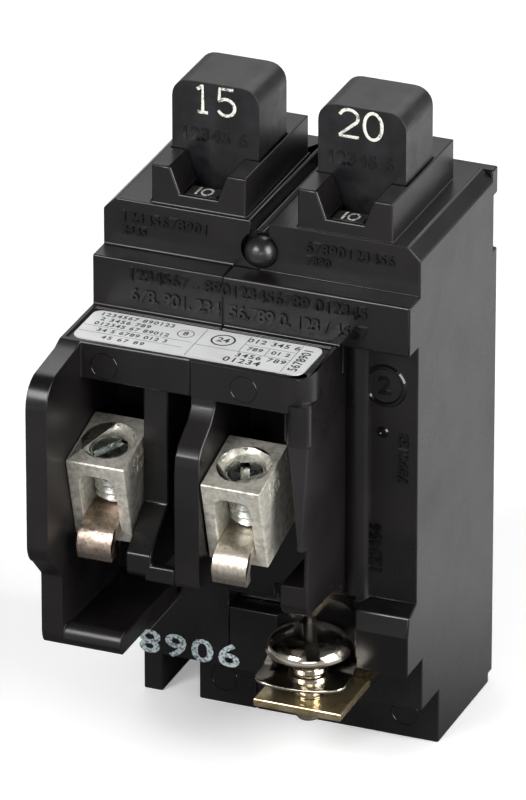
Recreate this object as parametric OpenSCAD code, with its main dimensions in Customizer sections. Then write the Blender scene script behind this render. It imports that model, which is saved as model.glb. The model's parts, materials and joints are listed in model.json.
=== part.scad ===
// Two-pole push-button moulded-case breaker: two independent poles side by side in one housing.
// X runs across the poles, Y runs from the terminal end to the back cover, Z runs up to the buttons.
// Front-to-back places are written from the face of the middle band, and seat() moves them to the origin.

/* [Housing] */
// Overall width of the housing
case_w = 50.8; // [48:0.2:62]
// Depth from the middle band's face to the back cover joint
body_d = 35; // [33:0.5:44]
// Height of the top deck above the feet
deck_z = 86.8; // [85:0.2:106]
// Thickness of the outer walls
wall = 2.2; // [1.6:0.1:2.8]
// Thickness of the deck
deck_t = 2.4; // [1.6:0.1:3]
// Where the parting plane of the two shells lies
seam_x = -4.4; // [-4.8:0.1:-4]
// Thickness of each shell's partition wall at the parting plane
partition_t = 1.3; // [1:0.1:1.5]
// Bevel along the deck's two long edges
deck_bevel = 2; // [1:0.1:2.5]
// Thickness of the back cover
cover_t = 2.3; // [1.5:0.1:4]

/* [Front face] */
// Height of the underside of the middle band
band_z = 70.9; // [70:0.1:72]
// Height of the middle band
band_h = 8.1; // [7:0.1:9]
// How far the upper band stands back
upper_set = 4.24; // [3:0.1:4.3]
// How far the plain panel stands back
panel_set = 3.6; // [2.5:0.1:4]
// How far the step over the feet stands back
step_set = 6.2; // [5.5:0.1:6.4]
// How far the feet stand back
foot_set = 13.4; // [12:0.1:15]
// Height of the feet
foot_h = 9; // [7:0.1:10]
// Height of the lower block's underside
block_z = 17.6; // [17:0.1:18.4]

/* [Terminal bay] */
// How far the label tray stands forward
tray_out = 12.8; // [11:0.1:14]
// Thickness of the label tray
tray_t = 6; // [4:0.1:6.5]
// How far the tall guard stands forward
guard_out = 25.75; // [24:0.05:28]
// Thickness of the guard wall
guard_t = 3.4; // [2.5:0.1:3.6]
// Right-hand edge of the terminal bay
bay_x = 14.3; // [14:0.1:15]
// Tilt of the wire lugs
lug_tilt = 15; // [10:1:18]
// Width of a lug
lug_w = 9.4; // [8.4:0.1:9.6]
// Height of a lug
lug_h = 14.3; // [13:0.1:15.5]
// Length of a lug along the wire
lug_d = 12; // [10:0.1:13]
// Width of the wire opening
lug_mouth = 5.8; // [5:0.1:6.4]
// Thickness of the load straps
strap_t = 1.6; // [1:0.1:2]
// Radius of the lug set screw
lug_screw_r = 3.15; // [2.6:0.05:3.2]

/* [Line terminal] */
// Width of the line plate
plate_w = 14.2; // [13.4:0.1:15]
// Thickness of the line plate
plate_t = 1.3; // [1:0.1:1.6]
// Radius of the line bolt's thread
bolt_r = 2.5; // [2:0.05:3]
// Radius of the line bolt's head
bolt_head_r = 6.6; // [5:0.1:6.9]

/* [Buttons] */
// Distance between the two buttons
pole_pitch = 23.4; // [22.8:0.1:24]
// Width of a button
button_w = 14; // [11.5:0.1:14.2]
// Depth of a button
button_d = 11; // [9.5:0.1:11.8]
// Height of a button above the deck
button_h = 17.7; // [15:0.1:24]
// Travel of a button
button_travel = 4; // [2:0.1:4]
// Height of the collar above the deck
collar_h = 6.3; // [5:0.1:8]

/* [Mechanism] */
// Radius of the contact arm's pin
arm_pin_r = 1.5; // [1:0.05:1.8]
// Radius of the smaller pivot pins
pin_r = 0.8; // [0.6:0.05:0.9]
// Running clearance on pins and screws
run = 0.05; // [0.03:0.01:0.08]

/* [Hidden] */

$fn = 48;
over = 1;            // how far a cut runs past the face that it opens
half_w = case_w / 2;
band_y = (guard_out - body_d - cover_t) / 2;   // middle band's face from the part's centre
cover_y = body_d + cover_t;

// Places across the poles: [left pole, right pole]
LEFT = 0;
RIGHT = 1;
pole_mid = 1.5;
button_x = [pole_mid - pole_pitch / 2, pole_mid + pole_pitch / 2];
mech_x = [button_x[LEFT] - 2, button_x[RIGHT] - 2];
lug_x = [-17.3, 4.4];

// Seal ball in its hole beside the groove
ball_r = 2.45;
ball_hole_r = 2.95;
ball_x = 0.15;
ball_off = 0.4;
ball_y = 3.9;
ball_z = deck_z - 4.6;

// Cavities
groove_x = [-1.7, 1.2];
groove_z = deck_z - 2.6;
core_t = 1.2;        // wall between the centre groove and a cavity
cav_y = 6.6;
cav_top = deck_z - deck_t;
jog_z = band_z + 4.1;
cav_x = [[-half_w + wall, seam_x - partition_t], [seam_x + partition_t, half_w - wall]];
cav_upper_x = [[-half_w + wall, groove_x[0] - core_t], [groove_x[1] + core_t, half_w - wall]];
cav_floor = block_z + wall;
low_cav_x = [-16.9, cav_x[LEFT][1]];
ledge_z = band_z + band_h;

// Feet and lower block
body_left = -23.1;
left_foot_x = [body_left, -19.95];
main_foot_x = -13.9;
notch_back = 27;
central_x = [-18.5, 6.6];
central_set = 2.2;
central_z = 12.6;
central_top = 28.8;
right_block_x = 16;
right_block_top = 28.4;
trough_x = -12.8;
trough_z = 23.2;
trough_t = 2.8;
bay_set = 1.5;
bay_bottom = 36.4;
sub_bay_z = 26.6;
divider_a = [-12.3, -8.3];
divider_b = [-4.4, -0.5];
bay_wall_x = 9.9;
column_z = 59.5;     // foot of the column under the tray's corner
column_round = 1.6;
side_window = [36.5, 45];   // the wall is cut away between these, beside the lug
label_deep = 0.4;
lug_front = -15.3;
countersink = 0.8;
lug_sill = 2.2;
lug_roof = lug_h - 2.3;
lug_round = 1.7;
screw_sink = 1.4;
lug_foot_z = 40.2;

// Line terminal
plate_z = foot_h + 2.4;
bolt_x = 9.9;
bolt_y = -1;
plate_front = -6;
riser_y = 8.8;
riser_x = [bolt_x - 3, bolt_x + 5];
bus_z = [29, 36];
contact_r = 2.4;
contact_t = 1.5;
contact_z = 32.6;
washer_w = 14.2;
washer_room = 0.2;
washer_t = 0.9;
washer_z = plate_z + plate_t + 3.6;   // the washer hangs clear of the plate
lock_t = 0.9;
lock_r = 3.1;
head_z = washer_z + 3.4;
bolt_lift = 2;
head_t = 0.9;
dome_h = 2.5;
bolt_tip_z = plate_z - 2.7;
slot_turn = 31;

// Buttons and collars
collar_wall = 0.42;
slide_gap = 0.14;
button_y = 11.5;
collar_y = [4.7, 30];
window_y = 5.4;
window_x = 2.8;
funnel_top = 4.9;
funnel_z = deck_z + 2.1;
button_corner_r = 2.8;
stem_x = 4;
stem_y = [14, 20];
stem_z = cav_top - 8.4;
shoulder_t = 2;
shoulder_x = 3.6;
shoulder_back = 29.6;
spring_y = 27;
spring_r = 2.2;
spring_wire = 0.35;
shelf_z = cav_top - 10.2;
shelf_t = 1;
button_spring_top = cav_top - shoulder_t;

// Indicator flag
flag_pivot = [8.7, jog_z - 2];
flag_hub_r = 1.7;
flag_tip_x = 2.5;
flag_tip = [5.7, 8.8];
flag_top = deck_z + 2;

// Contact arm, trip cradle, armature and bimetal
arm_pivot = [21, 60];
arm_half_x = 2;
arm_half_y = 1.4;
arm_hub_r = 3.2;
arm_end_z = 29;
pad_z = 31.5;
pad_t = 1.2;
cradle_pivot = [28, 70];
cradle_tip = [16.8, 63.5];
cradle_x = [2.6, 4.2];
armature_pivot = [14.6, 46];
armature_t = 1.2;
armature_x = 4.2;
armature_top = 62.6;
strap_y = cav_y + 0.4;
strap_in_t = 1.3;
strap_in_z = [43.5, 66];
bimetal_y = 9.8;
bimetal_t = 1;
bimetal_x = 2.5;
bimetal_z = [44.5, 66];
yoke_z = [50, 58];
yoke_front = 13;
cal_r = 1.2;
cal_z = 60.3;
braid_r = 0.9;
chute_x = [3.4, 4.2];
chute_y = [11, 26];
chute_top = 27.6;
chute_plates = 5;

// Cover screws
screw_x = 20.2;
screw_z = [28.5, 79.6];
boss_r = 3.1;
boss_front = 24;
screw_shank_r = 1.4;
screw_head_r = 2.9;
screw_deep = 10;

black = "#1c1b1d";
brass = "#c8a964";
copper = "#b87a55";
steel = "#b9bcc0";
silver = "#c9c6bd";

// ---- helpers ----
module seat() { translate([0, band_y, 0]) children(); }

// A box between two corners given as [low, high] along each axis
module block(x, y, z) {
  translate([x[0], y[0], z[0]]) cube([x[1] - x[0], y[1] - y[0], z[1] - z[0]]);
}

// Extrudes a Y-Z outline along X
module slab(x) {
  translate([x[0], 0, 0]) rotate([90, 0, 90]) linear_extrude(x[1] - x[0]) children();
}

module x_rod(r, x, at) {
  translate([x[0], at[0], at[1]]) rotate([0, 90, 0]) cylinder(r = r, h = x[1] - x[0]);
}
module y_rod(r, at, y) {
  translate([at[0], y[0], at[1]]) rotate([-90, 0, 0]) cylinder(r = r, h = y[1] - y[0]);
}

// Points on an arc from angle a to angle b
function arc(c, r, a, b, n = 6) = [for (i = [0 : n]) let (t = a + (b - a) * i / n) c + r * [cos(t), sin(t)]];

// Lug frame: its origin is the middle of the lug's lower front edge
module at_lug(p) { translate([lug_x[p], lug_front, lug_foot_z]) rotate([lug_tilt, 0, 0]) children(); }

// A round wire swept along points
function unit(v) = v / norm(v);
function along(p, i) = unit(p[min(i + 1, len(p) - 1)] - p[max(i - 1, 0)]);
function ring(p, i, r, ref, sides) =
  let (d = along(p, i), u = unit(cross(d, ref)), v = cross(d, u))
  [for (k = [0 : sides - 1]) p[i] + r * (cos(360 * k / sides) * u + sin(360 * k / sides) * v)];
module wire(p, r, ref = [0, 0, 1], sides = 8) {
  last = len(p) - 1;
  polyhedron(
    points = [for (i = [0 : last]) each ring(p, i, r, ref, sides)],
    faces = [
      [for (k = [0 : sides - 1]) k],
      for (i = [0 : last - 1]) for (k = [0 : sides - 1]) let (n = (k + 1) % sides)
        [i * sides + k, (i + 1) * sides + k, (i + 1) * sides + n, i * sides + n],
      [for (k = [sides - 1 : -1 : 0]) last * sides + k]]);
}

// ---- housing ----
module guard_outline() {
  polygon(concat(
    [[bay_set + over, band_z], [-tray_out, band_z], [-tray_out - 2, band_z - 0.8]],
    arc([-guard_out + 4.5, band_z - 6], 4.5, 90, 180),
    arc([-guard_out + 4, 42.3], 4, 180, 240),
    [[-20.5, 35.4], [-20.5, 27.5]],
    arc([-18, trough_z + 2.5], 2.5, 180, 270),
    [[bay_set + over + panel_set, trough_z], [bay_set + over + panel_set, band_z]]));
}

module divider_a_outline() {
  polygon([[panel_set, 66], [-12, 66], [-12, 46], [-19, 40.5], [-19, bay_bottom + 1], [-18, bay_bottom],
    [panel_set, bay_bottom]]);
}

module divider_b_outline() {
  polygon([[panel_set, 66], [-12.4, 66], [-12.6, 63.6], [-14.2, 61.6], [-17.6, 59.4], [-18.8, 58],
    [-19.1, 56.4],
    [-19.1, bay_bottom + 0.6], [-18.5, bay_bottom], [panel_set, bay_bottom]]);
}

module bay_wall_outline() {
  polygon([[panel_set + 1, 66], [-tray_out + column_round, 66], [-tray_out + column_round, column_z],
    [-tray_out + 0.2, column_z], [-15.3, 43.6], [-12.4, 42.6], [-tray_out, side_window[0]], [-tray_out, 33],
    [-12, 31.5], [panel_set + 1, 30.6]]);
}

// Wall right of the bay: a column under the tray's corner, then a fin that narrows as it goes down
module bay_wall() {
  difference() {
    slab([bay_wall_x, bay_x]) bay_wall_outline();
    translate([0, -3, 0]) rotate([90, 0, 0]) linear_extrude(guard_out)
      polygon([[bay_wall_x - over, column_z], [bay_wall_x + 1.2, column_z], [bay_x - 0.7, side_window[1]],
        [bay_x - 0.7, side_window[0]], [bay_wall_x - over, side_window[0]]]);
  }
  hull() for (x = [bay_wall_x + 0.5 + column_round, bay_x - column_round])
    translate([x, -tray_out + column_round, column_z]) cylinder(r = column_round, h = 66.2 - column_z);
}

module tray() {
  corner = 4.5;
  block([-half_w, bay_x - corner], [-tray_out, over], [band_z - tray_t, band_z]);
  block([-half_w, bay_x], [-tray_out + corner, over], [band_z - tray_t, band_z]);
  translate([bay_x - corner, -tray_out + corner, band_z - tray_t]) cylinder(r = corner, h = tray_t);
}

// Shallow recess that the label lies in
module label_recess() {
  block([-half_w + 0.8, bay_x - 0.9], [-tray_out + 0.9, -0.7], [band_z - label_deep, band_z + over]);
}

module feet() {
  block([main_foot_x, half_w], [foot_set, body_d], [0, foot_h + over]);
  block(left_foot_x, [foot_set, notch_back], [0, central_z + over]);
  block([body_left, main_foot_x + over], [notch_back, body_d], [0, central_z + over]);
}

module lower_body() {
  // central block with its cut-off upper left corner
  difference() {
    slab([central_x[0], central_x[1]])
      polygon([[central_set, central_z], [central_set, central_top], [panel_set + 4, central_top],
        [panel_set + 4, trough_z + 4], [foot_set + over, trough_z + 4], [foot_set + over, central_z]]);
    translate([central_x[0], central_set - over, central_z + 2.4]) rotate([-90, 0, 0])
      linear_extrude(panel_set + 2.6) polygon([[-over, 0], [0, 0], [6.1, -8.2], [6.1, -30], [-over, -30]]);
    block([divider_b[0], central_x[1] - 1.7], [0, 14], [trough_z - 0.2, trough_z + 2.4]);
  }
  block([body_left, main_foot_x + over], [foot_set, body_d], [central_z, trough_z + over]);
  block([main_foot_x, half_w], [foot_set, body_d], [foot_h, trough_z + over]);
  block([central_x[0], half_w], [step_set, body_d], [central_z, trough_z + 5]);
  block([bolt_x - 9, half_w], [step_set, body_d], [foot_h, block_z + over]);
  slab([right_block_x, half_w])
    polygon([[0, block_z], [0, 24.2], [0.8, 27.2], [panel_set, right_block_top], [10, right_block_top],
      [10, block_z]]);
}

module bay() {
  slab([-half_w, -half_w + guard_t]) guard_outline();
  slab(divider_a) divider_a_outline();
  slab(divider_b) divider_b_outline();
  bay_wall();
  // bar that closes the slot between the dividers
  slab([divider_a[1] - over, divider_b[0] + over])
    polygon([[-19, bay_bottom], [-19, bay_bottom + 2.6], [-17.4, bay_bottom + 2.6], [-17.4, bay_bottom]]);
  // trough under the left lug, with a rounded lip
  slab([-half_w, trough_x])
    polygon(concat([[foot_set, trough_z], [foot_set, trough_z + trough_t], [-18, trough_z + trough_t + 0.4]],
      arc([-18.4, trough_z + 1.9], 1.9, 80, 250, 8)));
  // back wall of the bay
  block([-half_w, bay_x], [bay_set, panel_set + over], [sub_bay_z, band_z]);
  tray();
}

module collar(p) {
  x = button_x[p];
  half = button_w / 2 + slide_gap + collar_wall;
  difference() {
    block([x - half, x + half], collar_y, [deck_z - over, deck_z + collar_h]);
    // funnel in front of the button
    translate([x, button_y, 0]) rotate([90, 0, 0]) linear_extrude(button_y - collar_y[0] + over)
      polygon([[-window_x - 0.2, funnel_z], [-funnel_top, deck_z + collar_h + over],
        [funnel_top, deck_z + collar_h + over], [window_x + 0.2, funnel_z]]);
  }
}

module pole_openings(p) {
  x = button_x[p];
  half = button_w / 2 + slide_gap;
  block([x - half, x + half], [button_y - slide_gap, button_y + button_d + slide_gap],
    [cav_top - over, deck_z + collar_h + over]);
  block([x - window_x, x + window_x], [window_y, button_y], [cav_top - over, funnel_z + over]);
}

module cavities() {
  for (p = [LEFT, RIGHT]) {
    block(cav_x[p], [cav_y, body_d + over], [cav_floor + (p == LEFT ? 6.2 : 0), jog_z]);
    block(cav_upper_x[p], [cav_y, body_d + over], [jog_z - 0.01, cav_top]);
  }
  block(low_cav_x, [cav_y, body_d + over], [cav_floor, cav_floor + 7]);
  block([bolt_x - 8, half_w - wall], [riser_y, body_d + over], [plate_z, cav_floor + over]);
  // passage of the bus bar through the partition
  block([cav_x[LEFT][1] - over, cav_x[RIGHT][0] + over], [riser_y, riser_y + plate_t], bus_z);
  // slot of the line plate
  block([bolt_x - plate_w / 2, bolt_x + plate_w / 2], [0, riser_y + over], [plate_z, plate_z + plate_t]);
  // slots of the load straps
  for (p = [LEFT, RIGHT]) at_lug(p)
    block([-lug_mouth / 2, lug_mouth / 2], [13, 24.5], [lug_sill - 0.1, lug_sill + strap_t + 0.1]);
}

module screw_bosses(side) {
  for (z = screw_z) y_rod(boss_r, [side * screw_x, z], [boss_front, body_d]);
}

module case_block() {
  difference() {
    union() {
      difference() {
        union() {
          block([-half_w, half_w], [panel_set, body_d], [trough_z + 2, band_z + over]);
          block([-half_w, half_w], [0, body_d], [band_z, ledge_z]);
          block([-half_w, half_w], [upper_set, body_d], [ledge_z - over, deck_z]);
          lower_body();
          feet();
          bay();
          // rounded column beside the plain panel
          translate([bay_x + 1.5, panel_set + 0.6, right_block_top - 1])
            cylinder(r = 2.2, h = band_z - right_block_top + 2);
        }
        cavities();
        for (s = [-1, 1]) translate([s * half_w, 0, deck_z]) rotate([0, 45, 0])
          translate([-deck_bevel * sqrt(0.5), -over, -deck_bevel * sqrt(0.5)])
            cube([2 * deck_bevel * sqrt(0.5), cover_y + 2, 2 * deck_bevel * sqrt(0.5)]);
      }
      for (p = [LEFT, RIGHT]) collar(p);
      intersection() {
        union() { screw_bosses(-1); screw_bosses(1); }
        block([-half_w + wall / 2, half_w - wall / 2], [boss_front, body_d], [0, cav_top + wall / 2]);
      }
    }
    for (p = [LEFT, RIGHT]) pole_openings(p);
    block(groove_x, [upper_set - over, body_d + over], [groove_z, deck_z + over]);
    y_rod(ball_hole_r, [ball_x - ball_off, ball_z], [0, ball_y + ball_r]);
    label_recess();
    // pocket round the line bolt and its square washer
    block([bolt_x - washer_w / 2 - washer_room, bolt_x + washer_w / 2 + washer_room],
      [bolt_y - washer_w, bolt_y + washer_w / 2 + washer_room],
      [plate_z + plate_t, washer_z + washer_t + bolt_lift + washer_room]);
    translate([bolt_x, bolt_y, plate_z + plate_t]) cylinder(r = bolt_head_r + 0.5, h = 16);
    for (s = [-1, 1]) for (z = screw_z)
      y_rod(screw_shank_r + run, [s * screw_x, z], [body_d - screw_deep, body_d + over]);
  }
}

// Space to the left of the stepped parting plane
module left_side() {
  block([-half_w - over, seam_x], [-guard_out - over, body_d + over], [-over, ledge_z + 0.01]);
  block([-half_w - over, (groove_x[0] + groove_x[1]) / 2], [-guard_out - over, body_d + over],
    [ledge_z, deck_z + collar_h + over]);
}

module case_left() { color(black) seat() intersection() { case_block(); left_side(); } }
module case_right() { color(black) seat() difference() { case_block(); left_side(); } }

module back_cover() {
  notch = 0.6;
  color(black) seat() difference() {
    union() {
      block([-half_w + 0.3, half_w - 0.3], [body_d, cover_y], [1, deck_z - 0.4]);
      // shelves that carry the button springs
      for (p = [LEFT, RIGHT])
        block([button_x[p] - 4, button_x[p] + 4], [24, body_d + over], [shelf_z - shelf_t, shelf_z]);
    }
    for (s = [-1, 1])
      block([s * (half_w - 0.3) - notch, s * (half_w - 0.3) + notch], [body_d - over, cover_y + over],
        [ledge_z - 6, ledge_z + 3]);
    for (s = [-1, 1]) for (z = screw_z) {
      y_rod(screw_shank_r + run, [s * screw_x, z], [body_d - over, cover_y + over]);
      y_rod(screw_head_r + 0.2, [s * screw_x, z], [cover_y - 1.2, cover_y + over]);
    }
  }
}

module cover_screws() {
  color(steel) seat() for (s = [-1, 1]) for (z = screw_z) difference() {
    union() {
      y_rod(screw_shank_r, [s * screw_x, z], [body_d - screw_deep + 0.5, cover_y - 0.6]);
      y_rod(screw_head_r, [s * screw_x, z], [cover_y - 1.2, cover_y - 0.1]);
    }
    block([s * screw_x - 0.4, s * screw_x + 0.4], [cover_y - 0.7, cover_y + over], [z - 4, z + 4]);
  }
}

module seal_ball() { color("#0d0d0e") seat() translate([ball_x, ball_y, ball_z]) sphere(r = ball_r); }

module label() {
  color("#efece4") seat()
    block([-half_w + 1.2, bay_x - 1.8], [-tray_out + 1.6, -1.3],
      [band_z - label_deep, band_z - label_deep + 0.2]);
}

// ---- line terminal ----
module line_strap() {
  color(brass) seat() difference() {
    union() {
      block([bolt_x - plate_w / 2, bolt_x + plate_w / 2], [plate_front, riser_y + plate_t],
        [plate_z, plate_z + plate_t]);
      block(riser_x, [riser_y, riser_y + plate_t], [plate_z, bus_z[1]]);
      block([mech_x[LEFT] - 4, riser_x[1]], [riser_y, riser_y + plate_t], bus_z);
    }
    translate([bolt_x, bolt_y, plate_z - over]) cylinder(r = bolt_r + run, h = plate_t + 2);
  }
}

module line_washer() {
  color(steel) seat() difference() {
    union() {
      block([bolt_x - washer_w / 2, bolt_x + washer_w / 2], [bolt_y - washer_w / 2, bolt_y + washer_w / 2],
        [washer_z, washer_z + washer_t]);
      translate([bolt_x, bolt_y, washer_z]) cylinder(r = lock_r, h = washer_t + lock_t);
    }
    translate([bolt_x, bolt_y, washer_z - over]) cylinder(r = bolt_r + run, h = washer_t + lock_t + 2);
  }
}

module line_bolt() {
  dome_r = (bolt_head_r * bolt_head_r + dome_h * dome_h) / (2 * dome_h);
  color(silver) seat() translate([bolt_x, bolt_y, 0]) difference() {
    union() {
      translate([0, 0, bolt_tip_z]) cylinder(r = bolt_r, h = head_z - bolt_tip_z + head_t / 2);
      translate([0, 0, head_z]) cylinder(r = bolt_head_r, h = head_t);
      intersection() {
        translate([0, 0, head_z + head_t + dome_h - dome_r]) sphere(r = dome_r);
        translate([0, 0, head_z + head_t / 2]) cylinder(r = bolt_head_r, h = dome_h + 1);
      }
    }
    translate([0, 0, head_z + head_t + dome_h]) rotate([0, 0, slot_turn])
      cube([1.6, 2 * bolt_head_r + 2, 3.4], center = true);
  }
}

// ---- buttons and indicator flags ----
module button(p) {
  x = button_x[p];
  top = deck_z + button_h;
  low = cav_top;
  color(black) seat() {
    translate([x, button_y + button_d, 0]) rotate([90, 0, 0]) linear_extrude(button_d)
      polygon(concat([[-button_w / 2, low], [button_w / 2, low]],
        arc([button_w / 2 - button_corner_r, top - button_corner_r], button_corner_r, 0, 90),
        arc([-button_w / 2 + button_corner_r, top - button_corner_r], button_corner_r, 90, 180)));
    block([x - stem_x, x + stem_x], stem_y, [stem_z, low + over]);
    block([x - shoulder_x, x + shoulder_x], [stem_y[0], shoulder_back], [low - shoulder_t, low]);
  }
}

module button_spring(p) {
  turns = 4.5;
  steps = 14;
  low = shelf_z + spring_wire;
  rise = button_spring_top - spring_wire - low;
  color(steel) seat() translate([button_x[p], spring_y, 0])
    wire([for (i = [0 : turns * steps]) let (a = 360 * i / steps, f = i / (turns * steps))
      [spring_r * cos(a), spring_r * sin(a), low + rise * f]], spring_wire);
}

module flag(p) {
  x = button_x[p];
  color("#e9e7e0") seat() difference() {
    union() {
      block([x - flag_tip_x, x + flag_tip_x], flag_tip, [flag_top - 1.2, flag_top]);
      slab([x - 1.4, x + 1.4])
        polygon([[flag_tip[0] + 1.3, flag_top - 0.6], [flag_tip[1] - 0.4, flag_top - 0.6],
        [flag_pivot[0] + 1, flag_pivot[1]], [flag_pivot[0] - 1, flag_pivot[1]]]);
      x_rod(flag_hub_r, [x - 1.8, x + 1.8], flag_pivot);
    }
    x_rod(pin_r + run, [x - 3, x + 3], flag_pivot);
  }
}

module flag_pin(p) { color(steel) seat() x_rod(pin_r, cav_x[p], flag_pivot); }

// ---- contacts ----
module contact_arm(p) {
  x = mech_x[p];
  color(copper) seat() difference() {
    union() {
      block([x - arm_half_x, x + arm_half_x], [arm_pivot[0] - arm_half_y, arm_pivot[0] + arm_half_y],
        [arm_end_z, arm_pivot[1]]);
      x_rod(arm_hub_r, [x - arm_half_x, x + arm_half_x], arm_pivot);
    }
    x_rod(arm_pin_r + run, [x - 4, x + 4], arm_pivot);
  }
}

module moving_contact(p) {
  color(silver) seat() y_rod(contact_r, [mech_x[p], pad_z],
    [arm_pivot[0] - arm_half_y - pad_t, arm_pivot[0] - arm_half_y]);
}

module fixed_contact(p) {
  color(silver) seat() y_rod(contact_r, [mech_x[p], contact_z],
    [riser_y + plate_t, riser_y + plate_t + contact_t]);
}

module arm_pin(p) { color(steel) seat() x_rod(arm_pin_r, cav_x[p], arm_pivot); }

// ---- trip mechanism ----
module cradle(p) {
  x = [mech_x[p] + cradle_x[0], mech_x[p] + cradle_x[1]];
  dir = unit(cradle_tip - cradle_pivot);
  side = [-dir[1], dir[0]];
  color(steel) seat() difference() {
    union() {
      x_rod(3, x, cradle_pivot);
      x_rod(1.2, x, cradle_tip);
      slab(x) polygon([cradle_pivot + 2.4 * side, cradle_tip + side, cradle_tip - side,
        cradle_pivot - 2.4 * side]);
    }
    x_rod(pin_r + run, [x[0] - over, x[1] + over], cradle_pivot);
  }
}

module cradle_pin(p) { color(steel) seat() x_rod(pin_r, cav_x[p], cradle_pivot); }

module armature(p) {
  x = mech_x[p];
  color("#8f9296") seat() difference() {
    union() {
      block([x - armature_x, x + armature_x],
        [armature_pivot[0] - armature_t / 2, armature_pivot[0] + armature_t / 2],
        [armature_pivot[1], armature_top]);
      x_rod(1.4, [x - armature_x, x + armature_x], armature_pivot);
    }
    x_rod(pin_r + run, [x - armature_x - over, x + armature_x + over], armature_pivot);
  }
}

module armature_pin(p) { color(steel) seat() x_rod(pin_r, cav_x[p], armature_pivot); }

module bimetal(p) {
  x = mech_x[p];
  color("#a99a86") seat() {
    block([x - bimetal_x, x + bimetal_x], [bimetal_y, bimetal_y + bimetal_t], bimetal_z);
    block([x - bimetal_x, x + bimetal_x], [strap_y + strap_in_t, bimetal_y + over / 2],
      [bimetal_z[1] - 3.5, bimetal_z[1]]);
  }
}

module magnet_yoke(p) {
  x = mech_x[p];
  back = strap_y + strap_in_t;
  color("#8f9296") seat() {
    block([x - 4.2, x + 4.2], [back, back + 1], yoke_z);
    for (s = [-1, 1]) block([x + s * 3.7 - 0.5, x + s * 3.7 + 0.5], [back + 0.5, yoke_front], yoke_z);
  }
}

module calibration_screw(p) {
  color(brass) seat() y_rod(cal_r, [mech_x[p], cal_z], [strap_y - 0.2, bimetal_y]);
}

module load_strap(p) {
  bend = 2;
  inner_x = [min(lug_x[p] - 2.8, mech_x[p] - 3), max(lug_x[p] + 2.8, mech_x[p] + 3)];
  color(copper) {
    seat() at_lug(p) {
      block([-2.8, 2.8], [-0.5, 23.9], [lug_sill, lug_sill + strap_t]);
      // curled tongue in front of the lug
      slab([-2.8, 2.8]) polygon(concat(
        arc([-0.5, lug_sill - bend], bend + strap_t, 90, 180, 8),
        [[-0.5 - bend - strap_t, -0.9], [-0.5 - bend, -0.9]],
        arc([-0.5, lug_sill - bend], bend, 180, 90, 8)));
    }
    seat() difference() {
      block(inner_x, [strap_y, strap_y + strap_in_t], strap_in_z);
      y_rod(cal_r + run, [mech_x[p], cal_z], [strap_y - over, strap_y + strap_in_t + over]);
    }
  }
}

module braid(p) {
  x = mech_x[p];
  // Control points of the flexible lead, smoothed by a Catmull-Rom curve
  c = [[x + 2, 11.7, 47.4], [x + 2.2, 11.8, 46.5], [x + 3.4, 12.4, 42.6], [x + 3.6, 15, 41],
    [x + 3.6, 18.4, 42.6],
    [x + 3.6, 20, 47.6], [x + 3.6, 20.4, 54], [x + 3.6, 20.4, 56]];
  path = [for (i = [1 : len(c) - 3]) for (t = [0 : 0.2 : 0.8])
    0.5 * (2 * c[i] + (c[i + 1] - c[i - 1]) * t + (2 * c[i - 1] - 5 * c[i] + 4 * c[i + 1] - c[i + 2]) * t * t
      + (3 * c[i] - c[i - 1] - 3 * c[i + 1] + c[i + 2]) * t * t * t)];
  color(copper) seat() wire(path, braid_r, [1, 0, 0]);
}

// ---- arc chute ----
module arc_boards(p) {
  x = mech_x[p];
  color("#d8cdb4") seat() for (s = [-1, 1])
    block([x + s * (chute_x[0] + chute_x[1]) / 2 - 0.4, x + s * (chute_x[0] + chute_x[1]) / 2 + 0.4], chute_y,
      [cav_floor, chute_top]);
}

module arc_plates(p) {
  x = mech_x[p];
  pitch = (chute_y[1] - chute_y[0] - 2) / (chute_plates - 1);
  color(steel) seat() for (i = [0 : chute_plates - 1]) {
    y = chute_y[0] + 1 + i * pitch;
    block([x - chute_x[0], x + chute_x[0]], [y - 0.4, y + 0.4], [cav_floor, chute_top - 0.6]);
  }
}

// ---- lugs ----
module lug(p) {
  color(silver) seat() at_lug(p) difference() {
    block([-lug_w / 2, lug_w / 2], [0, lug_d], [0, lug_h]);
    block([-lug_mouth / 2, lug_mouth / 2], [-over, lug_d + over], [lug_sill, lug_roof - lug_round]);
    block([-lug_mouth / 2 + lug_round, lug_mouth / 2 - lug_round], [-over, lug_d + over],
      [lug_sill, lug_roof]);
    for (s = [-1, 1])
      y_rod(lug_round, [s * (lug_mouth / 2 - lug_round), lug_roof - lug_round], [-over, lug_d + over]);
    translate([0, lug_d / 2, lug_sill + strap_t + 0.1]) cylinder(r = lug_screw_r + run, h = lug_h);
    translate([0, lug_d / 2, lug_h - countersink])
      cylinder(r1 = lug_screw_r + run, r2 = lug_screw_r + run + 2 * countersink, h = 2 * countersink);
  }
}

module lug_screw(p) {
  screw_foot = lug_sill + strap_t + 0.3;
  color(steel) seat() at_lug(p) translate([0, lug_d / 2, 0]) difference() {
    translate([0, 0, screw_foot]) cylinder(r = lug_screw_r, h = lug_h - screw_sink - screw_foot);
    translate([-lug_screw_r - over, -0.65, lug_h - screw_sink - 1.5]) cube([2 * lug_screw_r + 2, 1.3, 4]);
  }
}

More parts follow.
